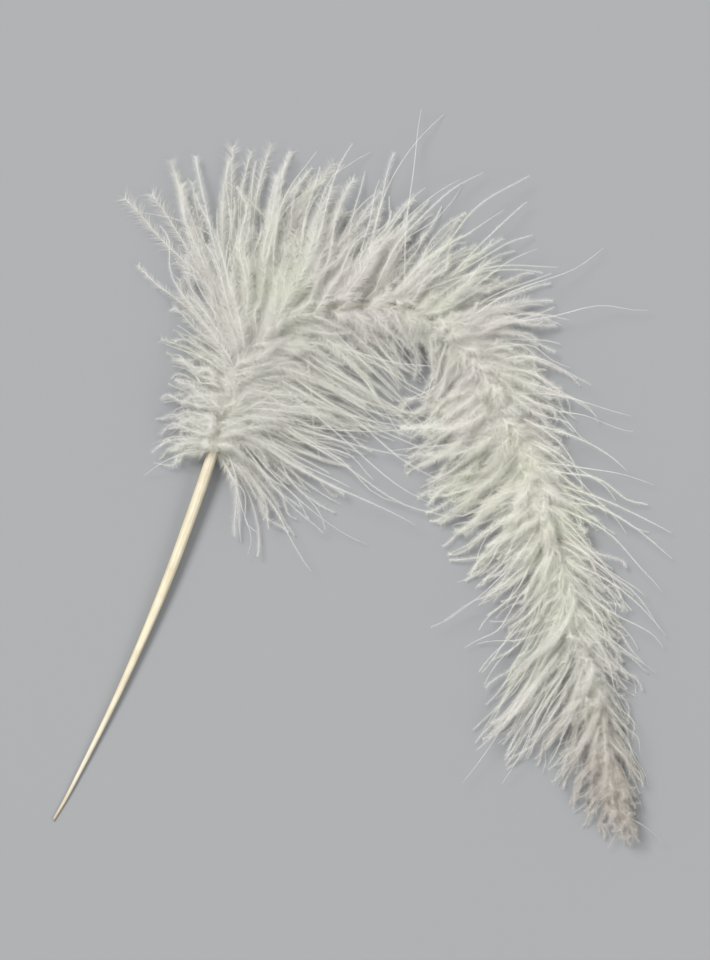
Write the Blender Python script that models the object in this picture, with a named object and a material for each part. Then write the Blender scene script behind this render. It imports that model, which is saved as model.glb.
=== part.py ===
"""Turkey marabou plume, lying flat: a bare quill, the rachis that goes on from it in an arch, and a vane of
down on each side of the rachis. Metres, +Z up, with the origin under the middle of the plume."""

import bmesh
import bpy
from mathutils import Vector

MM = 0.001

# The shaft from the quill's point to the plume's end: x, y and z of its centre, then its radius, in mm.
SHAFT = (
    (-54.0, -60.9, 0.2, 0.20),
    (-50.3, -54.2, 0.4, 0.34),
    (-41.8, -37.0, 0.9, 0.59),
    (-33.2, -17.0, 1.6, 0.90),
    (-25.3, 5.0, 2.7, 1.00),
    (-20.8, 19.0, 3.2, 0.88),
    (-12.4, 28.2, 3.6, 0.75),
    (-1.5, 31.2, 3.8, 0.66),
    (9.5, 30.2, 3.8, 0.58),
    (19.0, 24.2, 3.6, 0.50),
    (26.2, 13.5, 3.4, 0.43),
    (32.0, -1.0, 3.1, 0.36),
    (37.0, -17.0, 2.7, 0.29),
    (41.3, -33.0, 2.3, 0.22),
    (44.7, -47.5, 1.8, 0.16),
    (47.2, -59.0, 1.2, 0.10),
)
CURVE_STEPS = 6          # straight pieces between two points of the shaft
SHAFT_SIDES = 2          # bevel resolution, which gives a tube of 8 sides

# The down begins at this point of SHAFT, and the barb tips of each vane are listed from there on, one for
# each point of the shaft.
DOWN_FROM = 4
OUTER_TIPS = (
    (-30.5, 5.0),
    (-35.6, 31.0),
    (-34.5, 54.0),
    (-13.0, 60.5),
    (15.0, 61.9),
    (37.5, 54.0),
    (50.0, 32.0),
    (53.8, 8.0),
    (54.2, -16.0),
    (54.0, -36.0),
    (53.4, -50.0),
    (49.2, -62.2),
)
INNER_TIPS = (
    (-20.6, 0.5),
    (-16.5, -3.0),
    (-11.0, -8.0),
    (-4.0, -11.8),
    (4.0, -14.0),
    (11.5, -15.6),
    (17.0, -20.0),
    (18.2, -29.5),
    (17.6, -38.5),
    (19.0, -46.8),
    (29.5, -53.5),
    (44.4, -61.2),
)
VANE_STEPS = 4           # strips between two points of the shaft
VANE_GAP = 0.4           # between the shaft and the down beside it

# Across a vane: how far out from the shaft, as a share of the way to the barb tips, and how high.
DOWN_PROFILE = ((0.0, 5.0), (0.06, 6.2), (0.2, 6.0), (0.4, 4.2), (0.65, 2.4), (0.85, 1.5), (1.0, 0.9))
LOW_AT_ENDS = 0.45       # height of the down at the vane's two ends, as a share of the profile's


def clear_scene():
    for old in list(bpy.data.objects):
        bpy.data.objects.remove(old, do_unlink=True)


def keratin(name, colour, roughness):
    material = bpy.data.materials.new(name)
    material.use_nodes = True
    shader = material.node_tree.nodes["Principled BSDF"]
    shader.inputs["Base Color"].default_value = (*colour, 1.0)
    shader.inputs["Roughness"].default_value = roughness
    shader.inputs["Metallic"].default_value = 0.0
    return material


def smooth(points, steps):
    """Points of a Catmull-Rom curve through the given ones, with this many steps between two of them."""
    ends = [2 * points[0] - points[1], *points, 2 * points[-1] - points[-2]]
    found = []
    for a, b, c, d in zip(ends, ends[1:], ends[2:], ends[3:]):
        for step in range(steps):
            t = step / steps
            bend = (2 * a - 5 * b + 4 * c - d) * t**2 + (3 * b - a - 3 * c + d) * t**3
            found.append(b + ((c - a) * t + bend) / 2)
    return found + [points[-1]]


def shaft(collection):
    """The quill and rachis: one tube that tapers to both ends."""
    points = smooth([Vector(point) for point in SHAFT], CURVE_STEPS)
    curve = bpy.data.curves.new("shaft", "CURVE")
    curve.dimensions = "3D"
    curve.bevel_depth = MM
    curve.bevel_resolution = SHAFT_SIDES
    curve.use_fill_caps = True
    spline = curve.splines.new("POLY")
    spline.points.add(len(points) - 1)
    for target, point in zip(spline.points, points):
        target.co = (*(point.xyz * MM), 1.0)
        target.radius = point.w
    tube = bpy.data.objects.new("shaft", curve)
    curve.materials.append(keratin("quill", (0.78, 0.70, 0.55), 0.38))
    collection.objects.link(tube)


def vane(collection, name, tips, side):
    """One vane as a low solid from the shaft's side out to the barb tips. Its sections are unlike each other,
    so it is lofted, one section for each strip, and its underside lies flat on the table."""
    roots = smooth([Vector(point) for point in SHAFT[DOWN_FROM:]], VANE_STEPS)
    ends = smooth([Vector(tip) for tip in tips], VANE_STEPS)
    vertices = []
    for i, (root, end) in enumerate(zip(roots, ends)):
        along = (roots[min(i + 1, len(roots) - 1)] - roots[max(i - 1, 0)]).xy.normalized()
        sideways = Vector((-along.y, along.x)) * side
        start = root.xy + sideways * (root.w + VANE_GAP)
        share = i / (len(roots) - 1)
        height = LOW_AT_ENDS + (1 - LOW_AT_ENDS) * min(1.0, 6 * share, 3 * (1 - share))
        vertices.append((*start, 0.0))
        vertices += [(*start.lerp(end, out), high * height) for out, high in DOWN_PROFILE]
        vertices.append((*end, 0.0))
    ring = len(DOWN_PROFILE) + 2
    faces = [range(ring), range(len(vertices) - ring, len(vertices))]
    for first in range(0, len(vertices) - ring, ring):
        for i in range(ring):
            j = (i + 1) % ring
            faces.append((first + i, first + j, first + ring + j, first + ring + i))
    mesh = bpy.data.meshes.new(name)
    mesh.from_pydata([Vector(vertex) * MM for vertex in vertices], [], [tuple(face) for face in faces])
    mesh.materials.append(keratin(name + "_down", (0.62, 0.61, 0.54), 0.85))
    collection.objects.link(bpy.data.objects.new(name, mesh))
    face_outwards(mesh)


def face_outwards(mesh):
    work = bmesh.new()
    work.from_mesh(mesh)
    bmesh.ops.recalc_face_normals(work, faces=work.faces)
    work.to_mesh(mesh)
    work.free()


def main():
    clear_scene()
    plume = bpy.data.collections.new("marabou_plume")
    bpy.context.scene.collection.children.link(plume)
    shaft(plume)
    vane(plume, "outer_vane", OUTER_TIPS, 1)
    vane(plume, "inner_vane", INNER_TIPS, -1)


main()
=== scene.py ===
"""A marabou plume lying on a table: its bare quill, the thin rachis that goes on from it, and the down that
springs from both sides, grown barb by barb, each barb with its barbules."""

import bpy
import numpy as np
from bpy.props import FloatProperty, FloatVectorProperty, IntProperty, PointerProperty
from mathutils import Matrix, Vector


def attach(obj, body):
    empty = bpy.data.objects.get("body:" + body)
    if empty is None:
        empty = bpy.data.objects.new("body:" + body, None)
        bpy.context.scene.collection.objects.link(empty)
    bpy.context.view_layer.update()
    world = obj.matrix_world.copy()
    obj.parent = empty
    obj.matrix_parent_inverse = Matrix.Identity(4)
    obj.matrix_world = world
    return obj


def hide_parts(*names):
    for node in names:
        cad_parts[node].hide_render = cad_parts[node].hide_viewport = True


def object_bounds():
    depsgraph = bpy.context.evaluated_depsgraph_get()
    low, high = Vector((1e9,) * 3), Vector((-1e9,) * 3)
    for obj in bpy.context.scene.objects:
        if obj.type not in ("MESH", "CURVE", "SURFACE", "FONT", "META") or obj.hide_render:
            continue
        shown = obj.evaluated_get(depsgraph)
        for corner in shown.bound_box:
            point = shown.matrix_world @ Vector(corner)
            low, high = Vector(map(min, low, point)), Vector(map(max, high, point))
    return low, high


bl_info = {
    "name": "Marabou Plume",
    "version": (1, 0, 0),
    "blender": (4, 5, 0),
    "location": "3D View > Sidebar > Plume",
    "description": "Grows a downy marabou plume on its quill",
    "category": "Add Mesh",
}

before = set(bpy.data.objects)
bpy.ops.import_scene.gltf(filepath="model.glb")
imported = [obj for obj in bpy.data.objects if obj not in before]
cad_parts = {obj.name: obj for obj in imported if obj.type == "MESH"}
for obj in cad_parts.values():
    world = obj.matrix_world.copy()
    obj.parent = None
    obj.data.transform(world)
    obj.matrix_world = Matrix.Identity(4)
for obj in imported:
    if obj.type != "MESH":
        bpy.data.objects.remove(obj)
CAD_LOW, CAD_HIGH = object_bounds()

MM = 0.001
CHART = "OFBake"         # the UV map, in which each barb has a row of its own, from its root to its tip
BARB_CHART = 0.48        # of the chart's width holds the barbs, and what is beyond the next figure
BARBULE_CHART = 0.52     # holds their barbules

# The shaft from the quill's point to the plume's end, as in the part: x, y and z of its centre and its
# radius, in mm.
SHAFT = (
    (-54.0, -60.9, 0.2, 0.20),
    (-50.3, -54.2, 0.4, 0.34),
    (-41.8, -37.0, 0.9, 0.59),
    (-33.2, -17.0, 1.6, 0.90),
    (-25.3, 5.0, 2.7, 1.00),
    (-20.8, 19.0, 3.2, 0.88),
    (-12.4, 28.2, 3.6, 0.75),
    (-1.5, 31.2, 3.8, 0.66),
    (9.5, 30.2, 3.8, 0.58),
    (19.0, 24.2, 3.6, 0.50),
    (26.2, 13.5, 3.4, 0.43),
    (32.0, -1.0, 3.1, 0.36),
    (37.0, -17.0, 2.7, 0.29),
    (41.3, -33.0, 2.3, 0.22),
    (44.7, -47.5, 1.8, 0.16),
    (47.2, -59.0, 1.2, 0.10),
)
DOWN_FROM = 4            # the down begins at this point of the shaft
SHAFT_STEPS = 12         # short straight pieces between two points of the shaft

# How the barbs of each vane lie, from the quill's end of the down to the plume's tip. For each place: its
# share of the way, a barb's heading at its root and at its tip, in degrees away from the shaft's own
# heading, the length of the longest barbs in mm, the share of it that the thick down reaches, how closely
# the barbs grow, and how far the barbs of a lock draw together, from 0 to 1.
OUTER_BARBS = (
    (0.00, 105, 146, 11, 0.90, 1.1, 0.10),
    (0.03, 90, 125, 11, 0.90, 1.1, 0.15),
    (0.06, 80, 100, 12, 0.90, 1.3, 0.15),
    (0.10, 64, 79, 15, 0.90, 1.7, 0.15),
    (0.115, 66, 50, 31, 0.95, 2.5, 0.12),
    (0.13, 71, 37, 36, 0.96, 2.5, 0.12),
    (0.155, 74, 30, 34, 0.86, 2.1, 0.15),
    (0.19, 69, 33, 31, 0.72, 1.5, 0.20),
    (0.26, 72, 42, 31, 0.66, 1.1, 0.25),
    (0.33, 80, 52, 30, 0.60, 1.1, 0.30),
    (0.38, 84, 42, 28, 0.62, 1.1, 0.30),
    (0.41, 82, 15, 28, 0.62, 1.1, 0.35),
    (0.45, 66, 14, 24, 0.65, 1.0, 0.35),
    (0.49, 55, 16, 20, 0.62, 1.0, 0.25),
    (0.55, 52, 18, 20, 0.52, 1.0, 0.25),
    (0.60, 60, 20, 27, 0.48, 1.0, 0.30),
    (0.66, 54, 18, 24, 0.56, 1.0, 0.40),
    (0.71, 50, 17, 22, 0.62, 0.9, 0.55),
    (0.82, 37, 13, 15, 0.85, 0.9, 0.60),
    (0.92, 24, 9, 14, 0.85, 0.8, 0.55),
    (1.00, 12, 4, 8, 0.85, 0.8, 0.30),
)
INNER_BARBS = (
    (0.00, 115, 158, 22, 0.80, 1.4, 0.10),
    (0.03, 116, 122, 33, 0.68, 1.4, 0.20),
    (0.06, 116, 88, 40, 0.58, 1.3, 0.30),
    (0.10, 100, 78, 41, 0.60, 1.3, 0.30),
    (0.14, 88, 74, 39, 0.66, 1.2, 0.35),
    (0.18, 74, 66, 34, 0.68, 1.0, 0.35),
    (0.26, 45, 52, 26, 0.58, 0.9, 0.30),
    (0.33, 40, 42, 19, 0.55, 0.8, 0.20),
    (0.37, 42, 66, 13, 0.90, 0.9, 0.10),
    (0.41, 50, 92, 17, 0.95, 1.0, 0.10),
    (0.45, 62, 99, 18, 0.95, 1.0, 0.10),
    (0.49, 65, 95, 19, 0.95, 1.0, 0.10),
    (0.55, 64, 88, 20, 0.93, 1.0, 0.12),
    (0.60, 58, 80, 20, 0.85, 1.1, 0.20),
    (0.66, 52, 66, 23, 0.62, 1.1, 0.30),
    (0.71, 48, 62, 27, 0.62, 1.1, 0.60),
    (0.75, 46, 56, 31, 0.84, 1.1, 0.85),
    (0.78, 44, 53, 27, 0.88, 1.1, 0.85),
    (0.82, 40, 50, 21, 0.88, 1.0, 0.75),
    (0.92, 25, 38, 14, 0.85, 0.9, 0.60),
    (1.00, 7, 16, 7, 0.85, 0.8, 0.30),
)
# How closely the short down that crosses over the shaft grows, at these shares of the way. It leaves a faint
# line of the shaft bare on top of the arch.
CREST = (
    (0.0, 1.8),
    (0.05, 2.8),
    (0.17, 2.8),
    (0.21, 0.3),
    (0.34, 0.3),
    (0.38, 2.0),
    (0.75, 2.0),
    (1.0, 1.2),
)

# How long the barbules grow beside their usual length at these shares of the way, near a barb's root and at
# its tip. Where the plume is thickest they keep the barbs downy to their tips, and towards its end they
# leave all barbs plainer. Single hairs go by the first figure alone.
OUTER_GROWTH = (
    (0.0, 0.85, 0.85),
    (0.08, 0.80, 1.2),
    (0.12, 0.95, 2.3),
    (0.20, 1.00, 2.2),
    (0.28, 1.00, 1.2),
    (0.55, 1.00, 1.0),
    (0.68, 0.72, 0.72),
    (1.0, 0.65, 0.65),
)
INNER_GROWTH = (
    (0.0, 0.85, 0.85),
    (0.08, 0.80, 0.80),
    (0.20, 1.00, 1.0),
    (0.36, 1.00, 1.0),
    (0.42, 1.00, 1.7),
    (0.55, 1.00, 1.6),
    (0.68, 0.72, 0.72),
    (1.0, 0.65, 0.65),
)


class Layer:
    """One of the layers that a vane grows in. Lengths are beside the table's above, heights in mm."""

    def __init__(self, part, reach, uneven, arch, end_height, turn, lean, curl, over, fluff):
        self.part = part                # of the vane's barbs
        self.reach = reach              # length, beside the thick down's
        self.uneven = uneven            # how much the barbs differ in length
        self.arch = arch                # how high the barbs arch
        self.end_height = end_height    # of the barbs' tips
        self.turn = turn                # how far they stray from the heading, in degrees
        self.lean = lean                # a barb's heading at its root, beside the table's
        self.curl = curl                # how far it turns on to the table's heading, and how that varies
        self.over = over                # how far across the shaft they start, in mm
        self.fluff = fluff              # the length of their barbules, near the root and at the tip


# From the table upwards, then the crest over the shaft and two layers of single hairs.
LONG_HAIRS = Layer(0.12, 1.0, 0.20, 2.4, 1.8, 9, 1.0, (1.0, 0.2), 0.0, (0.45, 0.12))
WISPS = Layer(0.035, 1.25, 0.35, 2.4, 1.5, 22, 1.0, (1.1, 0.9), 0.0, (0.22, 0.05))
CREST_LAYER = Layer(0.29, 0.60, 0.30, 3.1, 3.0, 12, 0.30, (0.55, 0.2), 1.9, (1.0, 0.45))
LAYERS = (
    Layer(0.20, 1.10, 0.14, 0.2, 0.4, 6, 1.0, (1.0, 0.15), 0.0, (0.95, 0.25)),
    Layer(0.22, 1.00, 0.20, 1.6, 1.4, 7, 0.9, (1.0, 0.15), 0.0, (1.00, 0.30)),
    Layer(0.17, 0.85, 0.28, 3.2, 2.4, 8, 0.7, (0.95, 0.15), 0.5, (1.05, 0.40)),
    CREST_LAYER,
    LONG_HAIRS,
    WISPS,
)
# The pieces that a vane's down is made in: each one's share of the way, and from 0 to 1 how warm its white
# is, how light its painted shade leaves it at its start and at its end, and how strong a tan painted shadow
# is towards its end.
STRETCHES = (
    ("base", 0.00, 0.28, 0.22, 0.66, 0.72, 0.0),
    ("bend", 0.28, 0.62, 0.26, 0.72, 0.98, 0.0),
    ("tip", 0.62, 1.00, 0.34, 0.94, 0.30, 0.95),
)
MOST_REACH = 1.2         # the longest single hair, beside the table's length
MOST_THICK_REACH = 1.02  # the same for the thick down
BARB_POINTS = 15         # along one barb
BARB_SIDES = 3
QUILL_SIDES = 20
MOST_TRIANGLES = 199_000  # in one piece

# How locks and barbs vary. Two figures are the least and the most, unless a comment says otherwise.
LOCK_WIDTHS = (0.6, 2.4)         # along the shaft, in mm
MOST_LOCKS = 400                 # more than the shaft has room for
WILD_LOCKS = 0.08                # share of the locks that stray further than others
WILD_STRAY = 1.8                 # how many times as far
LOCK_STRAY = (0.2, 0.6)          # of the layer's turn, and what is added where locks draw together
TURN_DRIFT = (5.0, 24.0)         # slow drift of the headings: degrees, and over how many mm
ARCH_DRIFT = (0.35, 18.0)        # slow drift of the arch: its share, and over how many mm
SWINGS = (0.6, 1.0, 1.7)         # such a drift is three swings, this many of each in that length
SWINGS_TOGETHER = 1.7            # about the most that they add up to
CLOSENESS_STEPS = 400            # along the shaft, in which the barbs' closeness is added up
ROOT_OUT = 0.6                   # of the shaft's radius, from its middle to a barb's root
ROOT_UP = 0.4                    # height of a root that starts across the shaft, beside how far across
HAIR_REACH = 1.15                # of a single hair, beside the table's length, where the thick down is short
HAIR_SHORTER = 0.3               # how much less that is where the thick down is as long as the table says
LOCK_UNEVEN = 0.5                # how much of the layer's unevenness is between locks
LOCK_ARCHES = (0.7, 1.25)        # beside the layer's arch
LOCK_END_HEIGHTS = (0.3, 1.8)    # beside the layer's height at the tips
STARTS_OVER = (0.2, 1.0)         # beside the layer's start across the shaft
LOOSE_BARBS = 0.2                # share of the barbs that keep to no lock
BARB_STRAY = 0.7                 # of the layer's turn, for a barb that keeps to its lock
LOOSE_HAIR_STRAY = 2.3           # the same for a loose single hair
LOOSE_DOWN_STRAY = 1.6           # and for a loose barb of the thick down
CURL_SPREAD = 0.2                # how much the curl of a barb that keeps to its lock varies
LOOSE_CURL_SPREAD = 0.6
SHORTER = (-0.6, 1.6)            # of the layer's unevenness, how much shorter a barb is than its lock
ARCH_SPREAD = 0.5                # mm
END_HEIGHT_SPREAD = 0.6          # mm
LEAST_END_HEIGHT = 0.3           # mm
LEAST_HEIGHT = 0.15              # of a barb over the table, in mm
MOST_DRAWN = 0.7                 # how far a barb's tip is drawn to its lock's, where the table says 1
WANDER = (0.2, 1.2)              # how far a barb's tip wanders sideways, in mm
WANDER_TURNS = (0.6, 2.2)        # waves along a barb
FLUFF_LEAST = (0.65, 0.4)        # length of a barb's barbules beside the layer's, at its root and its tip
FLUFF_MOST = (1.15, 1.6)
BARB_TAPER = 0.76                # of its width that a barb loses by its tip

# How barbules stand on a barb.
FIRST_BARBULE = 0.02             # of the way along the barb
BARBULE_RUN = 0.975              # share of the barb that bears barbules
BARBULE_ROLL = (-8, 36)          # degrees up from the barb's side: the mean and the spread
BARBULE_ANGLE_SPREAD = 11        # degrees
BARBULE_TILT_SPREAD = 30         # degrees
BARBULE_SIZES = (0.5, 1.15)
DOWNY_TO = 0.3                   # of the barb, from where its barbules change to their length at the tip
LOWEST_BARBULE = 0.03            # over the table, in mm


# ---------------------------------------------------------------------------------------------------------
# Curves and meshes


def smooth(points, steps):
    """Points of a Catmull-Rom curve through the given ones, with this many steps between two of them."""
    points = np.asarray(points, float)
    ends = np.vstack([2 * points[0] - points[1], points, 2 * points[-1] - points[-2]])
    a, b, c, d = ends[:-3], ends[1:-2], ends[2:-1], ends[3:]
    t = np.arange(steps)[:, None, None] / steps
    curve = b + ((c - a) * t + (2 * a - 5 * b + 4 * c - d) * t**2 + (3 * b - a - 3 * c + d) * t**3) / 2
    return np.vstack([curve.transpose(1, 0, 2).reshape(-1, points.shape[1]), points[-1:]])


def along(points):
    """How far along a line each of its points is."""
    return np.concatenate([[0.0], np.cumsum(np.linalg.norm(np.diff(points, axis=0), axis=1))])


def unit(vectors):
    return vectors / np.maximum(np.linalg.norm(vectors, axis=-1, keepdims=True), 1e-12)


class Shaft:
    """The line that the whole plume grows on, in mm."""

    def __init__(self):
        line = smooth(SHAFT, SHAFT_STEPS)
        self.centre, self.radius = line[:, :3], line[:, 3]
        self.run = along(self.centre)
        self.down_start = self.run[DOWN_FROM * SHAFT_STEPS]
        self.down_length = self.run[-1] - self.down_start
        ahead = unit(np.gradient(self.centre, axis=0))
        self.heading = np.unwrap(np.arctan2(ahead[:, 1], ahead[:, 0]))

    def at(self, share):
        """Centre, radius and heading at each share of the way along the down."""
        run = self.down_start + share * self.down_length
        centre = np.stack([np.interp(run, self.run, column) for column in self.centre.T], axis=-1)
        return centre, np.interp(run, self.run, self.radius), np.interp(run, self.run, self.heading)


def frames(path):
    """The direction, sideways and upwards at each point of a line, or of each line of many."""
    ahead = unit(np.gradient(path, axis=-2))
    sideways = unit(np.cross((0.0, 0.0, 1.0), ahead))
    return ahead, sideways, np.cross(ahead, sideways)


def around(sides):
    """The angles of a ring's points."""
    return 2 * np.pi * np.arange(sides) / sides


def rings(sideways, up, angles):
    """The directions from a line's points to the points of the ring around each."""
    across, high = np.cos(angles)[:, None], np.sin(angles)[:, None]
    return sideways[..., None, :] * across + up[..., None, :] * high


def tube_sides(index):
    """Triangles between the rings of a tube. index holds the points' numbers, ring by ring."""
    a, b = index[..., :-1, :], index[..., 1:, :]
    a_next, b_next = np.roll(a, -1, axis=-1), np.roll(b, -1, axis=-1)
    return np.stack([a, a_next, b_next, a, b_next, b], axis=-1).reshape(-1, 3)


def fan(ring):
    """Triangles that close a ring of points."""
    return np.stack([np.full(len(ring) - 2, ring[0]), ring[1:-1], ring[2:]], axis=-1)


def new_piece(name, points, triangles, chart, material):
    """A mesh object in metres from arrays in mm. chart holds each point's place in the UV map."""
    mesh = bpy.data.meshes.new(name)
    mesh.vertices.add(len(points))
    mesh.vertices.foreach_set("co", (points * MM).astype(np.float32).ravel())
    mesh.loops.add(triangles.size)
    mesh.loops.foreach_set("vertex_index", triangles.astype(np.int32).ravel())
    mesh.polygons.add(len(triangles))
    mesh.polygons.foreach_set("loop_start", np.arange(0, triangles.size, 3, dtype=np.int32))
    mesh.polygons.foreach_set("use_smooth", np.ones(len(triangles), bool))
    layer = mesh.uv_layers.new(name=CHART)
    layer.uv.foreach_set("vector", chart[triangles.ravel()].astype(np.float32).ravel())
    mesh.materials.append(material)
    mesh.update(calc_edges=True)
    mesh.validate()
    piece = bpy.data.objects.new(name, mesh)
    bpy.context.scene.collection.objects.link(piece)
    return piece


# ---------------------------------------------------------------------------------------------------------
# Materials


class Value:
    """A node's output that can be used in sums, so that 1 - mask * 0.5 adds its Math nodes."""

    def __init__(self, finish, socket):
        self.finish, self.socket = finish, socket

    def math(self, operation, *values):
        return self.finish.math(operation, *values)

    def __add__(self, other):
        return self.math("ADD", self, other)

    def __sub__(self, other):
        return self.math("SUBTRACT", self, other)

    def __mul__(self, other):
        return self.math("MULTIPLY", self, other)

    def __pow__(self, other):
        return self.math("POWER", self, other)

    def __rsub__(self, other):
        return self.math("SUBTRACT", other, self)

    __radd__, __rmul__ = __add__, __mul__


class Finish:
    """A material that is being made, around its Principled shader."""

    def __init__(self, name, constants):
        self.material = bpy.data.materials.new(name)
        self.material.use_nodes = True
        self.tree = self.material.node_tree
        self.shader = self.tree.nodes["Principled BSDF"]
        self.set(self.shader, constants)

    def set(self, node, inputs):
        for key, value in inputs.items():
            if isinstance(value, Value):
                self.tree.links.new(value.socket, node.inputs[key])
            else:
                node.inputs[key].default_value = value

    def node(self, kind, settings=None, inputs=None, output=0):
        """Adds a node. Its settings come first, then the values or links of its sockets."""
        node = self.tree.nodes.new(kind)
        for key, value in (settings or {}).items():
            if key == "stops":
                self.set_stops(node.color_ramp, value)
            else:
                setattr(node, key, value)
        self.set(node, inputs or {})
        return Value(self, node.outputs[output])

    def math(self, operation, *values):
        return self.node("ShaderNodeMath", {"operation": operation}, dict(enumerate(values)))

    @staticmethod
    def set_stops(ramp, stops):
        while len(ramp.elements) < len(stops):
            ramp.elements.new(0.5)
        for element, (place, colour) in zip(ramp.elements, stops):
            element.position = place
            element.color = (*colour, 1.0)

    def mix(self, factor, first, second):
        """Two colours mixed by factor."""
        inputs = {0: factor, 6: self.opaque(first), 7: self.opaque(second)}
        return self.node("ShaderNodeMix", {"data_type": "RGBA"}, inputs, 2)

    @staticmethod
    def opaque(colour):
        return colour if isinstance(colour, Value) else (*colour[:3], 1.0)

    def chart(self):
        """The two directions of the chart: out along a barb, and across from row to row."""
        place = self.node("ShaderNodeUVMap", {"uv_map": CHART})
        out, across = (self.node("ShaderNodeSeparateXYZ", None, {0: place}, side) for side in (0, 1))
        return place, out, across

    def noise(self, place, stretch, scale, detail=2.0):
        """Noise over a place that is first stretched along its axes."""
        scaled = self.node(
            "ShaderNodeVectorMath", {"operation": "MULTIPLY"}, {0: place, 1: stretch}
        )
        return self.node("ShaderNodeTexNoise", None, {"Vector": scaled, "Scale": scale, "Detail": detail})


# Tints and painted shade that are laid over the main colours.
QUILL_STAIN = (0.40, 0.29, 0.16)
QUILL_SHADE = (0.62, 0.52, 0.35)
QUILL_BANDS = (0.55, 0.46, 0.29)
QUILL_STREAKS = (0.54, 0.45, 0.28)
QUILL_SPECKS = (0.84, 0.80, 0.70)
WARM_DOWN = (0.78, 0.72, 0.53)
GREY_BARBS = (0.68, 0.68, 0.64)
BARBULE_COLOUR = (0.74, 0.72, 0.62)
# A tan painted shadow over the end of the plume.
END_SHADOW_TAN = (0.48, 0.34, 0.20)
# The grey of the smaller patches of painted shade.
SHADOW_PATCH_GREY = (0.66, 0.63, 0.57)
# The grey of the painted shade that darkens whole stretches of down.
SHADE_GREY = (0.62, 0.61, 0.58)
TINT_SCALE = 75.0                # of the wide patches of colour, for each metre
SHADOW_PATCH_SCALE = 140.0               # of the smaller patches of painted shade


def keratin(settings):
    """The quill: cream and glossy, deeper in colour at its point, with fine lines along it, and with
    painted shade on its two sides.
    """
    finish = Finish("quill_keratin", {"Coat Roughness": 0.15, "Specular IOR Level": 0.6})
    place, out, turn = finish.chart()
    # Fine grain, lines along the quill, and wide bands across it.
    grain = finish.noise(place, (60.0, 12.0, 1.0), 1.0, 3.0)
    lines = finish.noise(place, (9.0, 16.0, 1.0), 1.0)
    bands = finish.noise(place, (55.0, 1.2, 1.0), 1.0)
    length = finish.node(
        "ShaderNodeValToRGB",
        {
            "stops": (
                (0.0, QUILL_STAIN),
                (0.012, QUILL_SHADE),
                (0.05, settings.point_colour),
                (0.14, settings.quill_colour),
                (0.24, settings.quill_colour),
                (0.33, settings.neck_colour),
                (0.45, settings.rachis_colour),
                (1.0, settings.rachis_colour),
            )
        },
        {0: out},
    )
    # Painted shade: the quill's two sides are darker than its ridge, as where light falls off round a tube.
    side_shade_mask = finish.math("ABSOLUTE", turn - 0.5) * 2.2
    side_shaded = finish.mix(side_shade_mask**2 * 0.75, length, settings.side_shade_colour)
    banded = finish.mix((bands * 4.5 - 1.9) * 0.5, side_shaded, QUILL_BANDS)
    streaked = finish.mix((lines * 4.5 - 1.9) * 0.55, banded, QUILL_STREAKS)
    mottled = finish.mix((grain * 4.0 - 1.9) * 0.5, streaked, QUILL_SPECKS)
    height = lines * 0.6 + grain * 0.3 + bands * 0.3
    bump = finish.node("ShaderNodeBump", None, {"Strength": 0.5, "Distance": 0.0001, "Height": height})
    gloss = {"Roughness": 0.26 + grain * 0.35, "Coat Weight": 0.1 + lines * 0.5}
    finish.set(finish.shader, {"Base Color": mottled, "Normal": bump, **gloss})
    return finish.material


def down(name, settings, warmth, light, end_light, end_shadow):
    """Down: nearly white, warmer at the roots, cooler at the tips, uneven from barb to barb and tinted in
    wide soft patches, with painted shade in smaller grey patches and from stretch to stretch, and a tan
    painted shadow towards the plume's end. The barbs are lighter than their barbules. The last four values
    are STRETCHES'."""
    finish = Finish(name, {"Sheen Weight": 0.25, "Sheen Roughness": 0.5, "Specular IOR Level": 0.3})
    place, out, across = finish.chart()
    barbule = finish.math("GREATER_THAN", out, 0.5)
    out = (out - barbule * BARBULE_CHART) * (1 / BARB_CHART)
    patches = finish.noise(place, (4.0, 9.0, 1.0), 1.0)
    barbs = finish.noise(place, (1.0, 140.0, 1.0), 1.0, 1.0)
    spot = finish.node("ShaderNodeTexCoord", output="Object")
    tint = finish.noise(spot, (1.0, 1.0, 1.0), TINT_SCALE, 1.0)
    shadow_patch = finish.noise(spot, (1.0, 1.0, 1.0), SHADOW_PATCH_SCALE, 1.5)
    base = finish.mix(out**0.7, settings.root_colour, settings.tip_colour)
    warm = finish.mix(patches * warmth, base, WARM_DOWN)
    fresh = finish.mix(tint * 3.4 - 1.7, warm, settings.fresh_colour)
    rosy = finish.mix(1.8 - tint * 3.4, fresh, settings.rosy_colour)
    uneven = finish.mix(barbs * 0.25, rosy, GREY_BARBS)
    shaded = finish.mix(barbule * settings.barbule_shade, uneven, BARBULE_COLOUR)
    # A tan painted shadow over the rows towards the end of the plume's tip.
    end_shadowed = finish.mix((across * 2.2 - 1.2) * end_shadow, shaded, END_SHADOW_TAN)
    # Smaller patches of painted shade.
    shadow_patched = finish.mix(shadow_patch * 2.4 - 1.15, end_shadowed, SHADOW_PATCH_GREY)
    # Painted shade: the down is darker or lighter from stretch to stretch, and along each one.
    colour = finish.mix(light + across * (end_light - light), SHADE_GREY, shadow_patched)
    finish.set(finish.shader, {"Base Color": colour, "Roughness": 0.55 + patches * 0.3})
    return finish.material


def painted(name, colour, roughness):
    """A plain matt surface with a very faint unevenness, for the table."""
    finish = Finish(name, {"Specular IOR Level": 0.2})
    place = finish.node("ShaderNodeTexCoord", output="Object")
    cloud = finish.noise(place, (1.0, 1.0, 1.0), 3.0)
    darker = tuple(0.96 * channel for channel in colour)
    finish.set(
        finish.shader,
        {"Base Color": finish.mix(cloud, colour, darker), "Roughness": roughness},
    )
    return finish.material


# ---------------------------------------------------------------------------------------------------------
# Down


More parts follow.
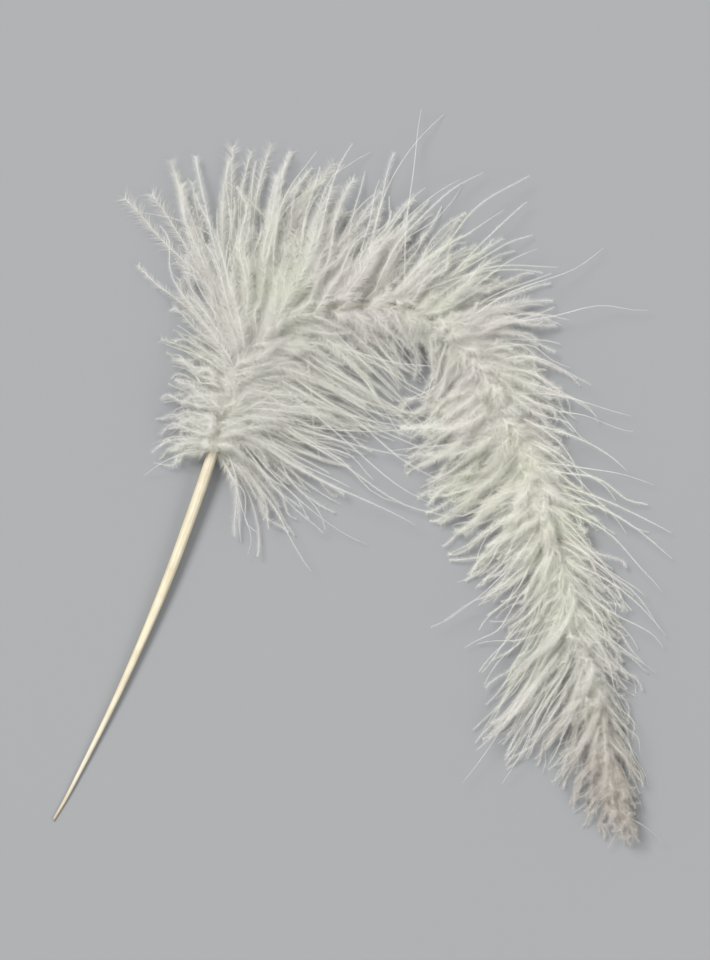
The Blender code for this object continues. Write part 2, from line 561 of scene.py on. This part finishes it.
class Vane:
    """The barbs on one side of the shaft. side is 1 for the left of the way it runs, -1 for the right."""

    def __init__(self, shaft, table, growth, side, settings):
        self.shaft, self.side, self.settings = shaft, side, settings
        self.table = np.array(table, float).T
        self.growth = np.array(growth).T
        self.random = np.random.default_rng(settings.seed + (3 if side > 0 else 8))

    def lie(self, share):
        """A barb's two headings, its length, how far thick down reaches and how far locks draw together."""
        places, *columns = self.table
        lie = (np.interp(share, places, column) for column in columns)
        start, end, length, thick, _, draw = lie
        return np.radians(start) * self.side, np.radians(end) * self.side, length, thick, draw

    def line(self, share, turn, curl, reach, arch, tip_height, over, lean):
        """The barbs' paths: arrays of barb, point along it, and x, y, z."""
        root, radius, heading = self.shaft.at(share)
        start, end, length, _, _ = self.lie(share)
        u = np.linspace(0, 1, BARB_POINTS)
        turning = heading + turn + start * lean
        angle = turning[:, None] + ((end - start * lean) * curl)[:, None] * u**0.8
        step = (length * reach / (BARB_POINTS - 1))[:, None]
        path = np.zeros((len(share), BARB_POINTS, 3))
        middle = (angle[:, 1:] + angle[:, :-1]) / 2
        path[:, 1:, 0] = np.cumsum(np.cos(middle) * step, axis=1)
        path[:, 1:, 1] = np.cumsum(np.sin(middle) * step, axis=1)
        out = np.stack([-np.sin(heading), np.cos(heading)], axis=-1) * self.side
        path[:, :, :2] += (root[:, :2] + out * (radius * ROOT_OUT - over)[:, None])[:, None]
        settle = u**1.3
        start_height = root[:, 2] + radius * np.minimum(over, 1.0) + ROOT_UP * over
        path[:, :, 2] = start_height[:, None] * (1 - settle) + tip_height[:, None] * settle
        path[:, :, 2] += arch[:, None] * np.sin(np.pi * u**0.7)
        return path

    def closer(self, share, crest):
        """Moves even places along the shaft to where the barbs grow closely."""
        places = np.linspace(0, 1, CLOSENESS_STEPS)
        growth = np.interp(places, self.table[0], self.table[5])
        if crest:
            growth = growth * np.interp(places, *zip(*CREST))
        growth = np.cumsum(growth)
        return np.interp(share * growth[-1], growth, places)

    def drift(self, share, size, wave):
        """A slow change along the shaft, about as large as size, over this many mm."""
        run = share * self.shaft.down_length * 2 * np.pi / wave
        phases = self.random.uniform(0, 2 * np.pi, 3)
        swings = (np.sin(run * rate + phase) for rate, phase in zip(SWINGS, phases))
        return size * sum(swings) / SWINGS_TOGETHER

    def layer(self, count, kind):
        """One layer of barbs in locks. A lock's barbs draw together towards their tips."""
        random = self.random
        edges = np.cumsum(random.uniform(*LOCK_WIDTHS, MOST_LOCKS)) / self.shaft.down_length
        share = self.closer((np.arange(count) + random.uniform(0, 1, count)) / count, kind is CREST_LAYER)
        lock = np.searchsorted(edges, share)
        locks = lock.max() + 1
        middle = np.array([share[lock == i].mean() if i in lock else 0.0 for i in range(locks)])
        _, _, _, thick, draw = self.lie(middle)
        wild = np.where(random.uniform(size=locks) < WILD_LOCKS, WILD_STRAY, 1.0)
        stray = kind.turn * (LOCK_STRAY[0] + LOCK_STRAY[1] * draw) * wild
        turn = np.radians(random.normal(0, 1, locks) * stray + self.drift(middle, *TURN_DRIFT))
        curl = random.normal(*kind.curl, locks)
        single = kind in (LONG_HAIRS, WISPS)
        full = HAIR_REACH - HAIR_SHORTER * thick if single else thick
        long = kind.reach * full * random.normal(1.0, kind.uneven * LOCK_UNEVEN, locks)
        rise = kind.arch * random.uniform(*LOCK_ARCHES, locks) * (1 + self.drift(middle, *ARCH_DRIFT))
        ends = kind.end_height * random.uniform(*LOCK_END_HEIGHTS, locks)
        over = kind.over * random.uniform(*STARTS_OVER, count)
        astray = random.uniform(size=count) < LOOSE_BARBS
        most_astray = LOOSE_HAIR_STRAY if single else LOOSE_DOWN_STRAY
        leader = self.line(middle, turn, curl, long, rise, ends, np.zeros(locks), kind.lean)[lock]
        own = self.line(
            share,
            turn[lock] + np.radians(random.normal(0, kind.turn * np.where(astray, most_astray, BARB_STRAY))),
            curl[lock] * random.normal(1.0, np.where(astray, LOOSE_CURL_SPREAD, CURL_SPREAD)),
            np.minimum(
                long[lock] * (1 - kind.uneven * random.uniform(*SHORTER, count)),
                MOST_REACH if single else MOST_THICK_REACH,
            ),
            rise[lock] + random.normal(0, ARCH_SPREAD, count),
            np.maximum(ends[lock] + random.normal(0, END_HEIGHT_SPREAD, count), LEAST_END_HEIGHT),
            over,
            kind.lean,
        )
        u = np.linspace(0, 1, BARB_POINTS)[None, :, None]
        drawn = np.where(astray, 0.0, MOST_DRAWN * self.lie(share)[4])[:, None, None] * u**1.2
        path = own * (1 - drawn) + leader * drawn
        path += self.waves(count) * (u * random.uniform(*WANDER, (count, 1, 1)))
        fluff = np.array(kind.fluff) * random.uniform(FLUFF_LEAST, FLUFF_MOST, (count, 2))
        places, near_root, at_tip = self.growth
        growth = (near_root, near_root if single else at_tip)
        fluff *= np.stack([np.interp(share, places, column) for column in growth], axis=-1)
        return share, path, fluff

    def waves(self, count):
        """A slow sideways and up-and-down wander for each barb, in mm at full size."""
        random = self.random
        u = np.linspace(0, 1, BARB_POINTS)[None, :, None]
        phase = random.uniform(0, 2 * np.pi, (count, 1, 3))
        turns = random.uniform(*WANDER_TURNS, (count, 1, 3))
        return np.sin(phase + 2 * np.pi * turns * u) * (1.0, 1.0, 0.6)

    def grow(self):
        """All barbs of the vane, sorted along the shaft."""
        grown = [self.layer(int(self.settings.barbs * kind.part), kind) for kind in LAYERS]
        share, path, fluff = (np.concatenate(columns) for columns in zip(*grown))
        order = np.argsort(share, kind="stable")
        path[:, :, 2] = np.maximum(path[:, :, 2], LEAST_HEIGHT)
        return share[order], path[order], fluff[order]


def barb_tubes(path, settings, row, rows):
    """Thin three-sided tubes along the barbs. Returns points, triangles and their places in the chart."""
    _, sideways, up = frames(path)
    u = np.linspace(0, 1, BARB_POINTS)
    radius = settings.barb_width / MM / 2 * (1 - BARB_TAPER * u**0.8)
    angles = around(BARB_SIDES)
    points = path[:, :, None] + rings(sideways, up, angles) * radius[None, :, None, None]
    index = np.arange(points.size // 3).reshape(points.shape[:3])
    caps = np.concatenate([index[:, 0, ::-1], index[:, -1]])
    chart = np.empty(points.shape[:3] + (2,))
    chart[..., 0] = u[None, :, None] * BARB_CHART
    chart[..., 1] = (row[:, None, None] + 0.5 + 0.3 * np.sin(angles)) / rows
    triangles = np.concatenate([tube_sides(index), caps])
    return points.reshape(-1, 3), triangles, chart.reshape(-1, 2)


def barbules(path, length, fluff, settings, row, rows, random, budget):
    """Fine slivers on both sides of each barb, one triangle each."""
    weight = length * settings.barbule_density
    count = np.floor(weight * min(1.0, budget / weight.sum())).astype(int)
    barb = np.repeat(np.arange(len(path)), count)
    first = np.concatenate([[0], np.cumsum(count)[:-1]])
    number = np.arange(len(barb)) - first[barb]
    u = (number + random.uniform(0, 1, len(barb))) / count[barb]
    u = FIRST_BARBULE + BARBULE_RUN * u
    spot = u * (BARB_POINTS - 1)
    low = np.minimum(spot.astype(int), BARB_POINTS - 2)
    part = (spot - low)[:, None]
    ahead, sideways, up = (
        unit(field[barb, low] * (1 - part) + field[barb, low + 1] * part) for field in frames(path)
    )
    root = path[barb, low] * (1 - part) + path[barb, low + 1] * part
    hand = np.where(number % 2 == 0, 1.0, -1.0)[:, None]
    roll = np.radians(random.normal(*BARBULE_ROLL, len(barb)))[:, None]
    opening = random.normal(settings.barbule_angle_degrees, BARBULE_ANGLE_SPREAD, len(barb))
    angle = np.radians(opening)[:, None]
    out = sideways * hand * np.cos(roll) + up * np.sin(roll)
    toward = ahead * np.cos(angle) + out * np.sin(angle)
    fade = np.interp(u, (0.0, 0.15, 1.0), (0.7, 1.0, 1.0))
    bare = np.clip((u - DOWNY_TO) / (1 - DOWNY_TO), 0, 1) ** 0.8
    fade *= fluff[barb, 0] * (1 - bare) + fluff[barb, 1] * bare
    size = (settings.barbule_length / MM * fade * random.uniform(*BARBULE_SIZES, len(barb)))[:, None]
    across = unit(np.cross(toward, (0.0, 0.0, 1.0)))
    tilt = np.radians(random.normal(0, BARBULE_TILT_SPREAD, len(barb)))[:, None]
    across = across * np.cos(tilt) + np.cross(toward, across) * np.sin(tilt)
    half = across * (settings.barbule_width / MM / 2) * (0.5 + 0.5 * fade[:, None])
    points = np.stack([root - half, root + half, root + toward * size], axis=1)
    points[:, :, 2] = np.maximum(points[:, :, 2], LOWEST_BARBULE)
    triangles = 3 * np.arange(len(barb))[:, None] + (0, 1, 2)
    chart = np.empty((len(barb), 3, 2))
    reach = np.clip(u[:, None] + np.array([-0.01, 0.01, 0.01]), 0, 1)
    chart[:, :, 0] = BARBULE_CHART + (1 - BARBULE_CHART) * reach
    chart[:, :, 1] = (row[barb][:, None] + 0.5 + hand * np.array([0.0, 0.1, 0.45])) / rows
    return points.reshape(-1, 3), triangles, chart.reshape(-1, 2)


def joined(parts):
    """Several sets of points, triangles and chart places as one."""
    points, triangles, chart = zip(*parts)
    starts = np.cumsum([0] + [len(p) for p in points[:-1]])
    moved = [t + start for t, start in zip(triangles, starts)]
    return np.concatenate(points), np.concatenate(moved), np.concatenate(chart)


def grow_vane(name, node, table, growth, side):
    """A vane's down, as one piece for each stretch of the shaft."""
    settings = bpy.context.scene.plume_down
    vane = Vane(Shaft(), table, growth, side, settings)
    share, path, fluffy = vane.grow()
    for stretch, start, end, *tones in STRETCHES:
        inside = (share >= start) & (share < end if end < 1 else share <= end)
        barbs = path[inside]
        length = np.array([along(line)[-1] for line in barbs])
        rows = len(barbs)
        row = np.arange(rows, dtype=float)
        tubes = barb_tubes(barbs, settings, row, rows)
        budget = MOST_TRIANGLES * settings.fullness - len(tubes[1])
        fluff = barbules(barbs, length, fluffy[inside], settings, row, rows, vane.random, budget)
        points, triangles, chart = joined([tubes, fluff])
        material = down(f"{name}_{stretch}", settings, *tones)
        piece = new_piece(f"{name}_{stretch}", points, triangles, chart, material)
        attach(piece, "root")
        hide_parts(node)


class PLUME_OT_outer_vane(bpy.types.Operator):
    """Grows the down on the outside of the plume's arch"""

    bl_idname = "plume.outer_vane"
    bl_label = "Outer Vane"

    def execute(self, context):
        grow_vane("outer_down", "outer_vane", OUTER_BARBS, OUTER_GROWTH, 1)
        return {"FINISHED"}


class PLUME_OT_inner_vane(bpy.types.Operator):
    """Grows the down on the inside of the plume's arch"""

    bl_idname = "plume.inner_vane"
    bl_label = "Inner Vane"

    def execute(self, context):
        grow_vane("inner_down", "inner_vane", INNER_BARBS, INNER_GROWTH, -1)
        return {"FINISHED"}


# ---------------------------------------------------------------------------------------------------------
# Shaft


GROOVE_FROM = 0.3        # of the way along the shaft, where the groove below it begins to deepen
GROOVE_RUN = 0.1         # over this share
GROOVE_DEPTH = 0.28      # of the shaft's radius
GROOVE_WIDTH = 0.12      # spread of the groove, in square radians


class PLUME_OT_shaft(bpy.types.Operator):
    """Makes the quill and the rachis, one tapering stem with a groove below"""

    bl_idname = "plume.shaft"
    bl_label = "Quill and Rachis"

    def execute(self, context):
        shaft = Shaft()
        _, sideways, up = frames(shaft.centre)
        angles = around(QUILL_SIDES)
        share = shaft.run / shaft.run[-1]
        grooved = np.clip((share - GROOVE_FROM) / GROOVE_RUN, 0, 1)[:, None]
        from_below = (angles + np.pi / 2 + np.pi) % (2 * np.pi) - np.pi
        size = shaft.radius[:, None] * (1 - GROOVE_DEPTH * grooved * np.exp(-(from_below**2) / GROOVE_WIDTH))
        points = shaft.centre[:, None] + rings(sideways, up, angles) * size[:, :, None]
        index = np.arange(points.size // 3).reshape(points.shape[:2])
        ends = np.concatenate([fan(index[0][::-1]), fan(index[-1])])
        chart = np.empty(points.shape[:2] + (2,))
        chart[..., 0] = share[:, None]
        turn = np.arange(QUILL_SIDES) / QUILL_SIDES
        chart[..., 1] = 0.05 + 0.9 * np.abs(2 * turn - 1)
        piece = new_piece(
            "quill_and_rachis",
            points.reshape(-1, 3),
            np.concatenate([tube_sides(index), ends]),
            chart.reshape(-1, 2),
            keratin(context.scene.plume_quill),
        )
        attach(piece, "root")
        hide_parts("shaft")
        return {"FINISHED"}


# ---------------------------------------------------------------------------------------------------------
# Stage


TABLE_SIZE = 30.0                # metres, so that its far edge looks like a horizon
SENSOR_WIDTH = 36.0              # mm
KEY_FROM = (-0.5, 0.55, 0.9)
KEY_DEGREES = 24
FILL_FROM = (0.8, -0.5, 0.9)
FILL_DEGREES = 40
FILL_SHARE = 0.28                # of the key light's strength
SKY_COLOUR = (0.95, 0.97, 1.0, 1.0)


class PLUME_OT_stage(bpy.types.Operator):
    """Sets up the table, the lights and a camera that looks straight down"""

    bl_idname = "plume.stage"
    bl_label = "Table, Lights and Camera"

    def execute(self, context):
        stage = context.scene.plume_stage
        scene = context.scene
        middle = (Vector(CAD_LOW) + Vector(CAD_HIGH)) / 2
        camera = bpy.data.cameras.new("camera")
        camera.sensor_width = SENSOR_WIDTH
        camera.lens = SENSOR_WIDTH * stage.camera_height / stage.view_height
        camera.clip_start = 0.05
        eye = bpy.data.objects.new("camera", camera)
        eye.location = (middle.x, middle.y, stage.camera_height)
        scene.collection.objects.link(eye)
        scene.camera = eye
        bpy.ops.mesh.primitive_plane_add(size=TABLE_SIZE, location=(0.0, 0.0, 0.0))
        table = context.object
        table.name = "table"
        table.data.materials.append(painted("table_paint", stage.table_colour, 0.7))
        add_wide_light("key", KEY_FROM, KEY_DEGREES, stage.key_strength)
        add_wide_light("fill", FILL_FROM, FILL_DEGREES, stage.key_strength * FILL_SHARE)
        world = bpy.data.worlds.new("studio")
        scene.world = world
        world.use_nodes = True
        background = world.node_tree.nodes["Background"]
        background.inputs["Color"].default_value = SKY_COLOUR
        background.inputs["Strength"].default_value = stage.ambient
        scene.view_settings.view_transform = "Standard"
        return {"FINISHED"}


def add_wide_light(name, place, degrees, strength):
    """A soft light on the whole table from this side, as wide as this many degrees of the sky."""
    lamp = bpy.data.lights.new(name, "SUN")
    lamp.angle = np.radians(degrees)
    lamp.energy = strength
    holder = bpy.data.objects.new(name, lamp)
    holder.location = place
    holder.rotation_euler = (-Vector(place)).to_track_quat("-Z", "Y").to_euler()
    bpy.context.scene.collection.objects.link(holder)


# ---------------------------------------------------------------------------------------------------------
# Settings and panel


class PlumeQuillSettings(bpy.types.PropertyGroup):
    """The colours of the shaft"""

    quill_colour: FloatVectorProperty(
        name="Quill Colour", description="Colour of the bare quill", subtype="COLOR",
        default=(0.77, 0.69, 0.49), min=0.0, max=1.0,
    )
    point_colour: FloatVectorProperty(
        name="Point Colour", description="Colour of the quill near its point", subtype="COLOR",
        default=(0.84, 0.78, 0.64), min=0.0, max=1.0,
    )
    # The colour of the painted shade on the quill's two sides.
    side_shade_colour: FloatVectorProperty(
        name="Edge Colour", description="Colour of the quill's two sides", subtype="COLOR",
        default=(0.50, 0.40, 0.22), min=0.0, max=1.0,
    )
    neck_colour: FloatVectorProperty(
        name="Neck Colour", description="Colour of the quill where the down begins", subtype="COLOR",
        default=(0.70, 0.64, 0.50), min=0.0, max=1.0,
    )
    rachis_colour: FloatVectorProperty(
        name="Rachis Colour", description="Colour of the thin shaft in the down", subtype="COLOR",
        default=(0.86, 0.83, 0.74), min=0.0, max=1.0,
    )


class PlumeDownSettings(bpy.types.PropertyGroup):
    """The size, number and colours of the barbs and barbules"""

    barbs: IntProperty(
        name="Barbs", description="Number of barbs in each vane", default=700, min=20, max=2000,
    )
    barb_width: FloatProperty(
        name="Barb Width", description="Thickness of a barb at its root", subtype="DISTANCE",
        unit="LENGTH", default=0.00017, min=0.00002, max=0.001,
    )
    barbule_length: FloatProperty(
        name="Barbule Length", description="Length of the longest barbules", subtype="DISTANCE",
        unit="LENGTH", default=0.0026, min=0.0001, max=0.01,
    )
    barbule_width: FloatProperty(
        name="Barbule Width", description="Greatest width of a barbule", subtype="DISTANCE",
        unit="LENGTH", default=0.000036, min=0.00001, max=0.001,
    )
    barbule_density: FloatProperty(
        name="Barbule Density", description="Barbules on each mm of barb, where the limits allow",
        default=35.5, min=0.0, max=100.0,
    )
    barbule_angle_degrees: FloatProperty(
        name="Barbule Angle", description="How far barbules open from their barb, in degrees",
        default=50.0, min=0.0, max=90.0,
    )
    fullness: FloatProperty(
        name="Fullness", description="Share of the allowed triangles that a piece may use",
        default=1.0, min=0.05, max=1.0, subtype="FACTOR",
    )
    barbule_shade: FloatProperty(
        name="Barbule Shade", description="How much darker the barbules are than their barb",
        default=0.30, min=0.0, max=1.0, subtype="FACTOR",
    )
    fresh_colour: FloatVectorProperty(
        name="Fresh Colour", description="Tint of the greener patches", subtype="COLOR",
        default=(0.87, 0.89, 0.72), min=0.0, max=1.0,
    )
    rosy_colour: FloatVectorProperty(
        name="Rosy Colour", description="Tint of the pinker patches", subtype="COLOR",
        default=(0.84, 0.78, 0.76), min=0.0, max=1.0,
    )
    root_colour: FloatVectorProperty(
        name="Root Colour", description="Colour of the down near the shaft", subtype="COLOR",
        default=(0.93, 0.91, 0.82), min=0.0, max=1.0,
    )
    tip_colour: FloatVectorProperty(
        name="Tip Colour", description="Colour of the down at the barbs' tips", subtype="COLOR",
        default=(0.95, 0.945, 0.91), min=0.0, max=1.0,
    )
    seed: IntProperty(name="Seed", description="Start of the random draws", default=4, min=0)


class PlumeStageSettings(bpy.types.PropertyGroup):
    """The table, the lights and the camera"""

    view_height: FloatProperty(
        name="View Height", description="Height of what the camera sees on the table",
        subtype="DISTANCE", unit="LENGTH", default=0.172, min=0.01,
    )
    camera_height: FloatProperty(
        name="Camera Height", description="Height of the camera above the table",
        subtype="DISTANCE", unit="LENGTH", default=0.9, min=0.05,
    )
    table_colour: FloatVectorProperty(
        name="Table Colour", description="Colour of the table", subtype="COLOR",
        default=(0.315, 0.32, 0.325), min=0.0, max=1.0,
    )
    key_strength: FloatProperty(
        name="Key Strength", description="Strength of the main light, in watts for each square metre",
        default=2.8, min=0.0,
    )
    ambient: FloatProperty(
        name="Ambient", description="Strength of the light from all round", default=0.55, min=0.0,
    )


class PLUME_PT_sidebar(bpy.types.Panel):
    """Lists the plume's pieces and their settings"""

    bl_label = "Marabou Plume"
    bl_idname = "PLUME_PT_sidebar"
    bl_space_type = "VIEW_3D"
    bl_region_type = "UI"
    bl_category = "Plume"

    def draw(self, context):
        for step in STEPS:
            self.layout.operator(step.bl_idname)
        for group in SETTINGS:
            box = self.layout.box()
            settings = getattr(context.scene, group)
            for name in settings.__annotations__:
                box.prop(settings, name)


STEPS = (PLUME_OT_stage, PLUME_OT_shaft, PLUME_OT_outer_vane, PLUME_OT_inner_vane)
SETTINGS = {
    "plume_quill": PlumeQuillSettings,
    "plume_down": PlumeDownSettings,
    "plume_stage": PlumeStageSettings,
}


def register():
    for cls in (*SETTINGS.values(), *STEPS, PLUME_PT_sidebar):
        bpy.utils.register_class(cls)
    for name, cls in SETTINGS.items():
        setattr(bpy.types.Scene, name, PointerProperty(type=cls))


def unregister():
    for name in SETTINGS:
        delattr(bpy.types.Scene, name)
    for cls in reversed((*SETTINGS.values(), *STEPS, PLUME_PT_sidebar)):
        bpy.utils.unregister_class(cls)


def main():
    register()
    bpy.ops.plume.stage()
    bpy.ops.plume.shaft()
    bpy.ops.plume.outer_vane()
    bpy.ops.plume.inner_vane()


if __name__ == "__main__":
    main()
